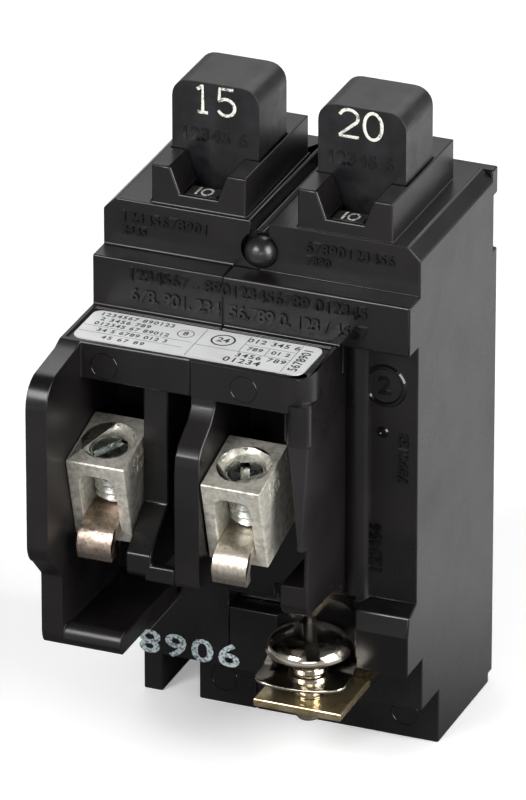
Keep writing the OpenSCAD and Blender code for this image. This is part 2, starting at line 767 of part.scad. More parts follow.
case_left();
case_right();
back_cover();
cover_screws();
seal_ball();
label();
line_strap();
line_washer();
line_bolt();
button(LEFT);  // button_left
button(RIGHT);  // button_right
button_spring(LEFT);  // button_spring_left
button_spring(RIGHT);  // button_spring_right
flag(LEFT);  // flag_left
flag(RIGHT);  // flag_right
flag_pin(LEFT);  // flag_pin_left
flag_pin(RIGHT);  // flag_pin_right
contact_arm(LEFT);  // contact_arm_left
contact_arm(RIGHT);  // contact_arm_right
moving_contact(LEFT);  // moving_contact_left
moving_contact(RIGHT);  // moving_contact_right
fixed_contact(LEFT);  // fixed_contact_left
fixed_contact(RIGHT);  // fixed_contact_right
arm_pin(LEFT);  // arm_pin_left
arm_pin(RIGHT);  // arm_pin_right
cradle(LEFT);  // cradle_left
cradle(RIGHT);  // cradle_right
cradle_pin(LEFT);  // cradle_pin_left
cradle_pin(RIGHT);  // cradle_pin_right
armature(LEFT);  // armature_left
armature(RIGHT);  // armature_right
armature_pin(LEFT);  // armature_pin_left
armature_pin(RIGHT);  // armature_pin_right
bimetal(LEFT);  // bimetal_left
bimetal(RIGHT);  // bimetal_right
magnet_yoke(LEFT);  // magnet_yoke_left
magnet_yoke(RIGHT);  // magnet_yoke_right
calibration_screw(LEFT);  // calibration_screw_left
calibration_screw(RIGHT);  // calibration_screw_right
load_strap(LEFT);  // load_strap_left
load_strap(RIGHT);  // load_strap_right
braid(LEFT);  // braid_left
braid(RIGHT);  // braid_right
arc_boards(LEFT);  // arc_boards_left
arc_boards(RIGHT);  // arc_boards_right
arc_plates(LEFT);  // arc_plates_left
arc_plates(RIGHT);  // arc_plates_right
lug(LEFT);  // lug_left
lug(RIGHT);  // lug_right
lug_screw(LEFT);  // lug_screw_left
lug_screw(RIGHT);  // lug_screw_right
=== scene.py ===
import json
from math import cos, pi, radians, sin

import bmesh
import bpy
from mathutils import Matrix, Vector


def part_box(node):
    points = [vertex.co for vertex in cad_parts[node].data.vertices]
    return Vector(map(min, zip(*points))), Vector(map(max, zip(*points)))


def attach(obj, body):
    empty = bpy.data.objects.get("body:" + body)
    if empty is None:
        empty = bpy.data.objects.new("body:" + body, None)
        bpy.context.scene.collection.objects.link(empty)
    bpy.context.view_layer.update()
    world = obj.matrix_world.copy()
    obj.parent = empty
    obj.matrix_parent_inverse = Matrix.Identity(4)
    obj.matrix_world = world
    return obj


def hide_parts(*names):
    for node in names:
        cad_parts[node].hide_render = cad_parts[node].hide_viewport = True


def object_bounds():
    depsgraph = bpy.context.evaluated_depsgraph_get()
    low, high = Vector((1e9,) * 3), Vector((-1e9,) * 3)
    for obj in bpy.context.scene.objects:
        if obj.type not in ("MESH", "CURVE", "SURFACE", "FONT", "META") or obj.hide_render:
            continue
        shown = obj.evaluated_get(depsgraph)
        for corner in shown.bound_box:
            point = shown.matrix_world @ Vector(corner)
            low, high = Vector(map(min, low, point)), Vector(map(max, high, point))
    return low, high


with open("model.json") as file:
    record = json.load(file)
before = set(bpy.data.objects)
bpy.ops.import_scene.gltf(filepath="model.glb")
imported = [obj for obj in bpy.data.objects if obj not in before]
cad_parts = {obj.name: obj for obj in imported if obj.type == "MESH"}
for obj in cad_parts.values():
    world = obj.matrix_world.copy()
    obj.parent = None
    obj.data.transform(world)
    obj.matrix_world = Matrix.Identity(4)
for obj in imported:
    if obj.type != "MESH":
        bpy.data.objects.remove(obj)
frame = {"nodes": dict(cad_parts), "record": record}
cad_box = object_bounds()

MM = 0.001
PAPER_GLOW = 0.3        # what the paper gives off for the camera alone
HORIZON_LIGHT = 0.45    # the room's strength level with the table
OVERHEAD_LIGHT = 0.07   # and higher up
FLOOR_HALF = 3

# ---- Table and studio -------------------------------------------------------------------
# A white sweep with large soft lamps: one over the left shoulder, a low strip in front for the
# metal, one on the right that lays a sheen on the side wall, and one behind for the top edges.
scene = bpy.context.scene
scene.view_settings.view_transform = "Standard"
box_low, box_high = (Vector(corner) for corner in cad_box)
middle = (box_low + box_high) / 2


def white_stage_paper():
    """Paper that shows pure white to the camera and keeps the shadow on it. To glossy rays it shows a
    painted shadow: grey in front of the breaker, nearly black just in front of it, white behind.
    """
    paper = bpy.data.materials.new("stage_paper")
    paper.use_nodes = True
    nodes, links = paper.node_tree.nodes, paper.node_tree.links
    shader = nodes["Principled BSDF"]
    shader.inputs["Roughness"].default_value = 0.7
    shader.inputs["Emission Color"].default_value = (1, 1, 1, 1)
    path = nodes.new("ShaderNodeLightPath")
    glow = nodes.new("ShaderNodeMath")
    glow.operation = "MULTIPLY"
    glow.inputs[1].default_value = PAPER_GLOW
    links.new(path.outputs["Is Camera Ray"], glow.inputs[0])
    links.new(glow.outputs[0], shader.inputs["Emission Strength"])
    place = nodes.new("ShaderNodeTexCoord")
    depth = nodes.new("ShaderNodeSeparateXYZ")
    links.new(place.outputs["Object"], depth.inputs[0])
    across = nodes.new("ShaderNodeMapRange")
    across.inputs["From Min"].default_value = -0.25
    across.inputs["From Max"].default_value = 0.25
    links.new(depth.outputs["Y"], across.inputs["Value"])
    # Painted shadow for glossy rays: the floor's colour darkens towards the breaker's front, so the lower
    # faces that mirror it look shaded.
    shadow_in_reflections = nodes.new("ShaderNodeValToRGB")
    shadow_in_reflections.color_ramp.elements[0].color = (0.42, 0.41, 0.41, 1)
    shadow_in_reflections.color_ramp.elements[1].color = (0.9, 0.89, 0.9, 1)
    for position, grey in ((0.2, 0.24), (0.3, 0.1), (0.4, 0.015), (0.5, 0.1), (0.62, 0.9)):
        shadow_in_reflections.color_ramp.elements.new(position).color = (grey, grey, grey, 1)
    links.new(across.outputs["Result"], shadow_in_reflections.inputs["Fac"])
    tone = nodes.new("ShaderNodeMix")
    tone.data_type = "RGBA"
    tone.inputs["A"].default_value = (0.9, 0.9, 0.9, 1)
    links.new(shadow_in_reflections.outputs["Color"], tone.inputs["B"])
    links.new(path.outputs["Is Glossy Ray"], tone.inputs["Factor"])
    links.new(tone.outputs["Result"], shader.inputs["Base Color"])
    return paper


def add_stage():
    """The floor that the breaker stands on."""
    mesh = bpy.data.meshes.new("stage_floor")
    sweep = bmesh.new()
    bmesh.ops.create_grid(sweep, x_segments=1, y_segments=1, size=FLOOR_HALF)
    sweep.to_mesh(mesh)
    sweep.free()
    floor = bpy.data.objects.new("stage_floor", mesh)
    scene.collection.objects.link(floor)
    mesh.materials.append(white_stage_paper())


def add_world():
    """White to the eye; for light and reflections dim overhead and bright along the horizon."""
    world = bpy.data.worlds.new("studio")
    scene.world = world
    world.use_nodes = True
    nodes, links = world.node_tree.nodes, world.node_tree.links
    place = nodes.new("ShaderNodeTexCoord")
    height = nodes.new("ShaderNodeSeparateXYZ")
    links.new(place.outputs["Generated"], height.inputs[0])
    room = nodes.new("ShaderNodeMapRange")
    room.inputs["From Min"].default_value = 0.0
    room.inputs["From Max"].default_value = 0.75
    room.inputs["To Min"].default_value = HORIZON_LIGHT
    room.inputs["To Max"].default_value = OVERHEAD_LIGHT
    links.new(height.outputs["Z"], room.inputs["Value"])
    path = nodes.new("ShaderNodeLightPath")
    seen = nodes.new("ShaderNodeMath")
    seen.operation = "MAXIMUM"
    links.new(path.outputs["Is Camera Ray"], seen.inputs[0])
    links.new(path.outputs["Is Transmission Ray"], seen.inputs[1])
    strength = nodes.new("ShaderNodeMix")
    strength.inputs["B"].default_value = 1.0
    links.new(seen.outputs[0], strength.inputs["Factor"])
    links.new(room.outputs["Result"], strength.inputs["A"])
    links.new(strength.outputs["Result"], nodes["Background"].inputs["Strength"])
    nodes["Background"].inputs["Color"].default_value = (1, 1, 1, 1)


def add_lamp(name, place, aim, size, power):
    """A soft rectangular lamp that faces its aim."""
    data = bpy.data.lights.new(name, "AREA")
    data.shape = "RECTANGLE"
    data.size, data.size_y = size
    data.energy = power
    lamp = bpy.data.objects.new(name, data)
    scene.collection.objects.link(lamp)
    lamp.location = place
    lamp.rotation_euler = (Vector(aim) - Vector(place)).to_track_quat("-Z", "Y").to_euler()


def add_camera():
    """A long lens, a little above the terminals and to their right."""
    aim = Vector((-1.09, 2.03, 55.72)) * MM
    azimuth, elevation, distance = radians(21.987), radians(25.931), 1.42314
    ahead = Vector((-sin(azimuth) * cos(elevation), cos(azimuth) * cos(elevation), -sin(elevation)))
    data = bpy.data.cameras.new("camera")
    data.lens = 426.97
    data.sensor_width = 36
    data.clip_start = 0.05
    camera = bpy.data.objects.new("camera", data)
    scene.collection.objects.link(camera)
    camera.location = aim - distance * ahead
    camera.rotation_euler = ahead.to_track_quat("-Z", "Y").to_euler()
    scene.camera = camera


add_stage()
add_world()
add_lamp("key", (-0.3, -0.75, 0.6), middle, (0.4, 0.4), 6)
add_lamp("low", (0.25, -0.6, 0.2), middle, (0.4, 0.1), 0.5)
add_lamp("side", (0.75, -0.1, 0.35), middle, (0.5, 0.6), 8)
add_lamp("rim", (-0.1, 0.6, 0.6), middle, (0.9, 0.35), 2)
add_camera()


# ---- Moulded housing --------------------------------------------------------------------
# Two black phenolic shells and a back cover, compression moulded, so every outer edge has a
# small radius and the faces have the faint mottle of the tool's stoning.
SHELL_ROUND = 0.3
HARD_EDGE = 28      # degrees between two faces, from which their edge counts as sharp
FILLET_SHARE = 0.4  # the most of the room beside an edge that its fillet takes


def nearest_on(edge, point):
    """Distance from a point to an edge."""
    start, end = (vert.co for vert in edge.verts)
    along = end - start
    part = max(0.0, min(1.0, (point - start).dot(along) / along.length_squared))
    return (start + part * along - point).length


def fillet_room(edge, radius):
    """The most that an edge can be rounded before it meets another edge of its faces."""
    start, end = (vert.co for vert in edge.verts)
    along = (end - start).normalized()
    room = radius
    for face in edge.link_faces:
        for other in face.edges:
            if other is edge:
                continue
            if set(other.verts) & set(edge.verts):
                across = other.verts[1].co - other.verts[0].co
                span = across.cross(along).length
                if span > 0.1 * across.length:
                    room = min(room, FILLET_SHARE * span)
                continue
            gap = min([nearest_on(other, point) for point in (start, end, (start + end) / 2)]
                      + [nearest_on(edge, vert.co) for vert in other.verts])
            if gap < room / FILLET_SHARE and edge.calc_length() > gap:
                room = FILLET_SHARE * gap
    return room


def mark_fillets(shape, radius):
    """Stores on each sharp edge how much of the radius it can take."""
    weight = shape.edges.layers.float.new("bevel_weight_edge")
    for edge in shape.edges:
        if len(edge.link_faces) == 2 and edge.calc_face_angle(0) > radians(HARD_EDGE):
            edge[weight] = fillet_room(edge, radius) / radius


def rounded_copy(node, radius, segments=2):
    """Copies a solid with its flat faces whole and its edges rounded."""
    shape = bmesh.new()
    shape.from_mesh(frame["nodes"][node].data)
    bmesh.ops.remove_doubles(shape, verts=shape.verts, dist=0.002 * MM)
    bmesh.ops.dissolve_limit(shape, angle_limit=radians(0.6), verts=shape.verts, edges=shape.edges)
    mark_fillets(shape, radius)
    mesh = bpy.data.meshes.new(node + "_form")
    shape.to_mesh(mesh)
    shape.free()
    mesh.polygons.foreach_set("use_smooth", [True] * len(mesh.polygons))
    mesh.set_sharp_from_angle(angle=radians(HARD_EDGE))
    piece = bpy.data.objects.new(node + "_form", mesh)
    scene.collection.objects.link(piece)
    fillet = piece.modifiers.new("fillet", "BEVEL")
    fillet.limit_method = "WEIGHT"
    fillet.width = radius
    fillet.segments = segments
    fillet.use_clamp_overlap = False
    flat = piece.modifiers.new("flat_faces", "WEIGHTED_NORMAL")
    flat.keep_sharp = True
    flat.weight = 80
    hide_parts(node)
    return piece


def body_of(node):
    """The body that a node belongs to."""
    bodies = frame["record"]["behaviour"]["bodies"]
    return next(name for name, members in bodies.items() if node in members)


def black_phenolic(name, dark, pale, gloss):
    """Black plastic whose tone and sheen vary in clouds, with a fine grain."""
    finish = bpy.data.materials.new(name)
    finish.use_nodes = True
    nodes, links = finish.node_tree.nodes, finish.node_tree.links
    shader = nodes["Principled BSDF"]
    place = nodes.new("ShaderNodeTexCoord")
    mottle = nodes.new("ShaderNodeTexNoise")
    mottle.inputs["Scale"].default_value = 60
    mottle.inputs["Detail"].default_value = 6
    links.new(place.outputs["Object"], mottle.inputs["Vector"])
    tone = nodes.new("ShaderNodeValToRGB")
    tone.color_ramp.elements[0].position = 0.35
    tone.color_ramp.elements[0].color = dark + (1,)
    tone.color_ramp.elements[1].position = 0.7
    tone.color_ramp.elements[1].color = pale + (1,)
    links.new(mottle.outputs["Fac"], tone.inputs["Fac"])
    links.new(tone.outputs["Color"], shader.inputs["Base Color"])
    sheen = nodes.new("ShaderNodeMapRange")
    sheen.inputs["From Min"].default_value = 0.3
    sheen.inputs["From Max"].default_value = 0.7
    sheen.inputs["To Min"].default_value = gloss[0]
    sheen.inputs["To Max"].default_value = gloss[1]
    links.new(mottle.outputs["Fac"], sheen.inputs["Value"])
    links.new(sheen.outputs["Result"], shader.inputs["Roughness"])
    grain = nodes.new("ShaderNodeTexNoise")
    grain.inputs["Scale"].default_value = 1400
    grain.inputs["Detail"].default_value = 3
    links.new(place.outputs["Object"], grain.inputs["Vector"])
    bump = nodes.new("ShaderNodeBump")
    bump.inputs["Strength"].default_value = 0.08
    bump.inputs["Distance"].default_value = 0.00005
    links.new(grain.outputs["Fac"], bump.inputs["Height"])
    links.new(bump.outputs["Normal"], shader.inputs["Normal"])
    return finish


housing_black = black_phenolic("black_phenolic", dark=(0.0048, 0.0042, 0.0046),
                               pale=(0.0105, 0.0085, 0.0088), gloss=(0.2, 0.4))
# The raised figures' finish is glossier than the housing's, and its colour is under half as bright: painted
# shade, so that the figures read darker than the moulding around them.
polished_shaded_black = black_phenolic("polished_shaded_figures", dark=(0.002, 0.002, 0.002),
                                pale=(0.004, 0.0035, 0.0035), gloss=(0.1, 0.18))
for node in ("case_left", "case_right", "back_cover"):
    shell = rounded_copy(node, SHELL_ROUND * MM)
    shell.data.materials.append(housing_black)
    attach(shell, body_of(node))

# ---- Marks moulded into the housing -----------------------------------------------------
# Plain figures stand proud where the tool was engraved, with a ring on the side panel and the
# round witness marks that the ejector pins leave. They are part of the same moulding.
depsgraph = bpy.context.evaluated_depsgraph_get
LOWER_BAND = 25.75      # the lower band's face, behind the guard's front
band_y = box_low.y + LOWER_BAND * MM
# How far these faces stand behind the lower band's
UPPER_BAND, SIDE_PANEL, TRAY_WALL, FOOT_FACE, CENTRE_FACE = 4.24, 3.6, -12.8, 13.4, 2.2
FIGURE_SHARE = 0.73     # a figure's height in its font's size
RAISED = 0.32
HEAVY = 0.09


def facing_front(x, y, z, turn=0.0):
    """Places a flat mark on a face that looks towards the terminals."""
    return (Matrix.Translation((x * MM, band_y + y * MM, z * MM)) @ Matrix.Rotation(radians(90), 4, "X")
            @ Matrix.Rotation(radians(turn), 4, "Z"))


def facing_up(x, y, z, turn=0.0):
    """Places a flat mark on a face that looks up."""
    return Matrix.Translation((x * MM, band_y + y * MM, z * MM)) @ Matrix.Rotation(radians(turn), 4, "Z")


def mesh_of(curve, place):
    """Turns a curve or a line of figures into a mesh, then puts it in its place."""
    holder = bpy.data.objects.new("holder", curve)
    scene.collection.objects.link(holder)
    mesh = bpy.data.meshes.new_from_object(holder.evaluated_get(depsgraph()))
    bpy.data.objects.remove(holder)
    mesh.transform(place)
    return mesh


def figures(text, height, proud, place, spacing=1.0, bold=0.0):
    """A line of plain figures, centred on its place."""
    line = bpy.data.curves.new("figures", "FONT")
    line.body = text
    line.size = height / FIGURE_SHARE * MM
    line.space_character = spacing
    line.align_x = "CENTER"
    line.align_y = "CENTER"
    line.extrude = proud * MM
    line.offset = bold * MM
    line.resolution_u = 3
    return mesh_of(line, place)


def pin_mark(radius, place, line=0.16, proud=0.06):
    """A round raised line."""
    circle = bpy.data.curves.new("ring", "CURVE")
    circle.dimensions = "3D"
    spline = circle.splines.new("POLY")
    steps = 40
    spline.points.add(steps - 1)
    for index, point in enumerate(spline.points):
        angle = 2 * pi * index / steps
        point.co = (radius * MM * cos(angle), radius * MM * sin(angle), 0, 1)
    spline.use_cyclic_u = True
    circle.bevel_depth = line / 2 * MM
    circle.bevel_resolution = 1
    return mesh_of(circle, place @ Matrix.Scale(2 * proud / line, 4, (0, 0, 1)))


def one_piece(name, meshes, finish, body, smooth=False):
    """Joins meshes into one piece with a finish, and lets it ride on a body."""
    whole = bmesh.new()
    for mesh in meshes:
        whole.from_mesh(mesh)
        bpy.data.meshes.remove(mesh)
    joined = bpy.data.meshes.new(name)
    whole.to_mesh(joined)
    whole.free()
    joined.polygons.foreach_set("use_smooth", [smooth] * len(joined.polygons))
    joined.materials.append(finish)
    piece = bpy.data.objects.new(name, joined)
    scene.collection.objects.link(piece)
    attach(piece, body)
    return piece


RAISED_LINES = (
    ("12345678901", 1.7, (-15.4, UPPER_BAND, 84.0), 1.12),
    ("2345", 1.3, (-20.3, UPPER_BAND, 81.9), 1.12),
    ("67890123456", 1.7, (14.2, UPPER_BAND, 84.0), 1.12),
    ("7890", 1.3, (9.2, UPPER_BAND, 81.9), 1.12),
    ("1234567 - 890123456789 012345", 2.1, (-0.5, 0, 76.8), 0.98),
    ("678. 901. 234  56.789 0. 123 / 4567", 2.1, (-0.3, 0, 73.5), 0.93),
    ("123456", 1.9, (18.9, SIDE_PANEL, 36.6, 90), 1.1),
    ("7890123", 1.6, (23.2, SIDE_PANEL, 52.4, 90), 1.1),
    ("2", 3.0, (20.1, SIDE_PANEL, 63.8), 1.0),
)
raised_marks = [figures(text, height, RAISED, facing_front(*place), spacing, HEAVY)
                for text, height, place, spacing in RAISED_LINES]
raised_marks += [
    pin_mark(3.1, facing_front(20.1, SIDE_PANEL, 63.8), 0.85, 0.36),
    pin_mark(0.55, facing_front(19.8, SIDE_PANEL, 56.1), 0.8, 0.3),
]
raised_marks += [pin_mark(2.1, facing_front(*place)) for place in (
    (-18.2, TRAY_WALL, 67.4), (4.1, TRAY_WALL, 67.6), (19.9, FOOT_FACE, 4.2), (-9.7, FOOT_FACE, 4.3))]
# The housing's figures take the glossier finish whose darker colour is painted shade.
one_piece("housing_figures", raised_marks, polished_shaded_black, "housing")


# ---- Date stamp -------------------------------------------------------------------------
# White stamping ink on the lower middle face, put on upside down by a rubber wheel, so it is
# thin and broken where the wheel missed the moulding.
def stamping_ink(name, colour, gaps):
    """Ink with pinholes and thin spots."""
    ink = bpy.data.materials.new(name)
    ink.use_nodes = True
    nodes, links = ink.node_tree.nodes, ink.node_tree.links
    shader = nodes["Principled BSDF"]
    shader.inputs["Roughness"].default_value = 0.55
    place = nodes.new("ShaderNodeTexCoord")
    spots = nodes.new("ShaderNodeTexNoise")
    spots.inputs["Scale"].default_value = 2200
    spots.inputs["Detail"].default_value = 4
    links.new(place.outputs["Object"], spots.inputs["Vector"])
    wear = nodes.new("ShaderNodeValToRGB")
    wear.color_ramp.elements[0].position = gaps
    wear.color_ramp.elements[0].color = tuple(0.25 * part for part in colour) + (1,)
    wear.color_ramp.elements[1].position = gaps + 0.1
    wear.color_ramp.elements[1].color = colour + (1,)
    links.new(spots.outputs["Fac"], wear.inputs["Fac"])
    links.new(wear.outputs["Color"], shader.inputs["Base Color"])
    return ink


stamp_ink = stamping_ink("stamp_ink", (0.45, 0.53, 0.55), 0.42)
WHEEL_STRETCH = 1.42
wheel_print = facing_front(-10.9, CENTRE_FACE, 14.8, 180) @ Matrix.Scale(WHEEL_STRETCH, 4, (1, 0, 0))
one_piece("date_stamp", [figures("9068", 3.9, 0.03, wheel_print, 1.14, 0.1)], stamp_ink,
          "housing")


# ---- Push buttons -----------------------------------------------------------------------
# Two moulded buttons, each worn grey on its crown by fingers, with the pole's current printed
# on its front in thick white ink.
def worn_button_plastic():
    """Black plastic, a little greyer and smoother than the housing, with finger wear."""
    finish = bpy.data.materials.new("worn_button_plastic")
    finish.use_nodes = True
    nodes, links = finish.node_tree.nodes, finish.node_tree.links
    shader = nodes["Principled BSDF"]
    place = nodes.new("ShaderNodeTexCoord")
    patches = nodes.new("ShaderNodeTexNoise")
    patches.inputs["Scale"].default_value = 260
    patches.inputs["Detail"].default_value = 8
    patches.inputs["Roughness"].default_value = 0.65
    links.new(place.outputs["Object"], patches.inputs["Vector"])
    tone = nodes.new("ShaderNodeValToRGB")
    tone.color_ramp.elements[0].position = 0.42
    tone.color_ramp.elements[0].color = (0.006, 0.0052, 0.0065, 1)
    tone.color_ramp.elements[1].position = 0.72
    tone.color_ramp.elements[1].color = (0.02, 0.0185, 0.021, 1)
    links.new(patches.outputs["Fac"], tone.inputs["Fac"])
    links.new(tone.outputs["Color"], shader.inputs["Base Color"])
    sheen = nodes.new("ShaderNodeMapRange")
    sheen.inputs["From Min"].default_value = 0.35
    sheen.inputs["From Max"].default_value = 0.7
    sheen.inputs["To Min"].default_value = 0.27
    sheen.inputs["To Max"].default_value = 0.5
    links.new(patches.outputs["Fac"], sheen.inputs["Value"])
    links.new(sheen.outputs["Result"], shader.inputs["Roughness"])
    bump = nodes.new("ShaderNodeBump")
    bump.inputs["Strength"].default_value = 0.15
    bump.inputs["Distance"].default_value = 0.00006
    links.new(patches.outputs["Fac"], bump.inputs["Height"])
    links.new(bump.outputs["Normal"], shader.inputs["Normal"])
    return finish


def bow(centre_x, centre_y, reach_x, reach_y, start, end, steps=14):
    """Points along part of an ellipse, from one angle to another in degrees."""
    angles = [radians(start + (end - start) * step / steps) for step in range(steps + 1)]
    return [(centre_x + reach_x * cos(angle), centre_y + reach_y * sin(angle)) for angle in angles]


def painted(strokes, width, place, thick=0.05):
    """Brush-like strokes of one width, as flat as a coat of ink."""
    ink = bpy.data.curves.new("strokes", "CURVE")
    ink.dimensions = "3D"
    ink.bevel_depth = width / 2 * MM
    ink.bevel_resolution = 2
    ink.use_fill_caps = True
    for stroke in strokes:
        spline = ink.splines.new("POLY")
        spline.points.add(len(stroke) - 1)
        for point, (x, y) in zip(spline.points, stroke):
            point.co = (x * MM, y * MM, 0, 1)
    return mesh_of(ink, place @ Matrix.Scale(2 * thick / width, 4, (0, 0, 1)))


INK_FACE, CAST_FACE = 11.48, 11.5   # where ink and moulded figures lie on a button's front
FIGURE_STROKES = {
    "0": [bow(0, 2.3, 1.4, 2.15, 0, 360, 28)],
    "1": [[(-0.8, 3.75), (-0.1, 4.35), (0.05, 4.4), (0.05, 0.1)], [(-0.75, 0.1), (0.9, 0.1)]],
    "2": [bow(0, 3.2, 1.45, 1.25, 165, -32) + [(-1.4, 0.3), (-1.35, 0.1), (1.6, 0.1)]],
    "5": [[(1.1, 4.4), (-1.05, 4.4), (-1.15, 2.55)] + bow(-0.05, 1.45, 1.4, 1.35, 138, -152)],
}
button_plastic = worn_button_plastic()
figure_ink = stamping_ink("figure_ink", (0.78, 0.78, 0.70), 0.36)
for side, rating in (("left", "15"), ("right", "20")):
    button = rounded_copy("button_" + side, 0.35 * MM, 3)
    button.data.materials.append(button_plastic)
    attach(button, "button_" + side)
    low, high = (Vector(corner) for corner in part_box("button_" + side))
    middle_x = (low.x + high.x) / 2 / MM
    digits = [painted(FIGURE_STROKES[digit], 0.54, facing_front(middle_x + shift, INK_FACE, 99.5))
              for digit, shift in zip(rating, (-2.1, 1.75))]
    one_piece("rating_" + side, digits, figure_ink, "button_" + side, smooth=True)
    # The buttons' cast figures also take the glossier finish whose darker colour is painted shade.
    cast = [figures("12345 6", 2.1, 0.13, facing_front(middle_x - 0.3, CAST_FACE, 95.9), 1.15, 0.1)]
    one_piece("button_figures_" + side, cast, polished_shaded_black, "button_" + side)


# ---- Indicator flags --------------------------------------------------------------------
# A small black flag under each button's funnel, with the on and off signs printed on its top.
flag_black = worn_button_plastic()
flag_black.name = "flag_plastic"
for side in ("left", "right"):
    flag = rounded_copy("flag_" + side, 0.12 * MM)
    flag.data.materials.append(flag_black)
    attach(flag, "flag_" + side)
    low, high = (Vector(corner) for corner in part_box("flag_" + side))
    middle_x = (low.x + high.x) / 2 / MM
    top_z = high.z / MM
    signs = [painted([[(-1.0, -1.25), (-1.0, 1.25)]], 0.42, facing_up(middle_x, 7.2, top_z)),
             painted([bow(0.5, 0, 0.8, 1.1, 0, 360, 24)], 0.4, facing_up(middle_x, 7.2, top_z))]
    one_piece("flag_signs_" + side, signs, figure_ink, "flag_" + side, smooth=True)


# ---- Seal ball --------------------------------------------------------------------------
# A glossy black ball pressed into the hole between the poles; it locks the two shells' join
# and has a small flat where the press touched it.
def ball_gloss():
    """Black gloss under a hazy coat."""
    finish = bpy.data.materials.new("ball_gloss")
    finish.use_nodes = True
    nodes, links = finish.node_tree.nodes, finish.node_tree.links
    shader = nodes["Principled BSDF"]
    shader.inputs["Coat Weight"].default_value = 0.6
    shader.inputs["Coat Roughness"].default_value = 0.28
    place = nodes.new("ShaderNodeTexCoord")
    cloud = nodes.new("ShaderNodeTexNoise")
    cloud.inputs["Scale"].default_value = 500
    links.new(place.outputs["Object"], cloud.inputs["Vector"])
    tone = nodes.new("ShaderNodeValToRGB")
    tone.color_ramp.elements[0].color = (0.003, 0.003, 0.003, 1)
    tone.color_ramp.elements[1].color = (0.012, 0.012, 0.012, 1)
    links.new(cloud.outputs["Fac"], tone.inputs["Fac"])
    links.new(tone.outputs["Color"], shader.inputs["Base Color"])
    haze = nodes.new("ShaderNodeMapRange")
    haze.inputs["To Min"].default_value = 0.3
    haze.inputs["To Max"].default_value = 0.45
    links.new(cloud.outputs["Fac"], haze.inputs["Value"])
    links.new(haze.outputs["Result"], shader.inputs["Roughness"])
    return finish


BALL_FLAT = 0.985     # the height of the pressed flat, in radii
ball_low, ball_high = (Vector(corner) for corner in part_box("seal_ball"))
ball_centre = (ball_low + ball_high) / 2
ball_radius = (ball_high.z - ball_low.z) / 2
shape = bmesh.new()
bmesh.ops.create_uvsphere(shape, u_segments=64, v_segments=32, radius=ball_radius)
for vert in shape.verts:
    vert.co.z = min(vert.co.z, BALL_FLAT * ball_radius)
bmesh.ops.rotate(shape, verts=shape.verts, matrix=Matrix.Rotation(radians(70), 3, "X"))
bmesh.ops.translate(shape, verts=shape.verts, vec=ball_centre)
ball_mesh = bpy.data.meshes.new("pressed_ball")
shape.to_mesh(ball_mesh)
shape.free()
ball_mesh.polygons.foreach_set("use_smooth", [True] * len(ball_mesh.polygons))
ball_mesh.materials.append(ball_gloss())
ball = bpy.data.objects.new("pressed_ball", ball_mesh)
scene.collection.objects.link(ball)
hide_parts("seal_ball")
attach(ball, "housing")


# ---- Rating label -----------------------------------------------------------------------
# A white film label with rounded corners, ruled into cells. Its cells hold plain figures and
# rings only.
def label_film():
    """White film with faint stains."""
    film = bpy.data.materials.new("label_film")
    film.use_nodes = True
    nodes, links = film.node_tree.nodes, film.node_tree.links
    shader = nodes["Principled BSDF"]
    shader.inputs["Roughness"].default_value = 0.35
    place = nodes.new("ShaderNodeTexCoord")
    stain = nodes.new("ShaderNodeTexNoise")
    stain.inputs["Scale"].default_value = 120
    stain.inputs["Detail"].default_value = 6
    links.new(place.outputs["Object"], stain.inputs["Vector"])
    tone = nodes.new("ShaderNodeValToRGB")
    tone.color_ramp.elements[0].position = 0.3
    tone.color_ramp.elements[0].color = (0.74, 0.74, 0.73, 1)
    tone.color_ramp.elements[1].position = 0.6
    tone.color_ramp.elements[1].color = (0.86, 0.87, 0.88, 1)
    links.new(stain.outputs["Fac"], tone.inputs["Fac"])
    links.new(tone.outputs["Color"], shader.inputs["Base Color"])
    return film


label_low, label_high = (Vector(corner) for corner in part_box("label"))
shape = bmesh.new()
bmesh.ops.create_cube(shape, size=1)
bmesh.ops.scale(shape, verts=shape.verts, vec=label_high - label_low)
bmesh.ops.translate(shape, verts=shape.verts, vec=(label_low + label_high) / 2)
half_thick = 0.5 * (label_high.z - label_low.z)
upright = [edge for edge in shape.edges
           if abs(edge.verts[0].co.z - edge.verts[1].co.z) > half_thick]
bmesh.ops.bevel(shape, geom=upright, offset=1.5 * MM, offset_type="OFFSET", segments=6, profile=0.5,
                affect="EDGES", material=-1)
film_mesh = bpy.data.meshes.new("label_film")
shape.to_mesh(film_mesh)
shape.free()
one_piece("label_sheet", [film_mesh], label_film(), "housing")
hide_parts("label")

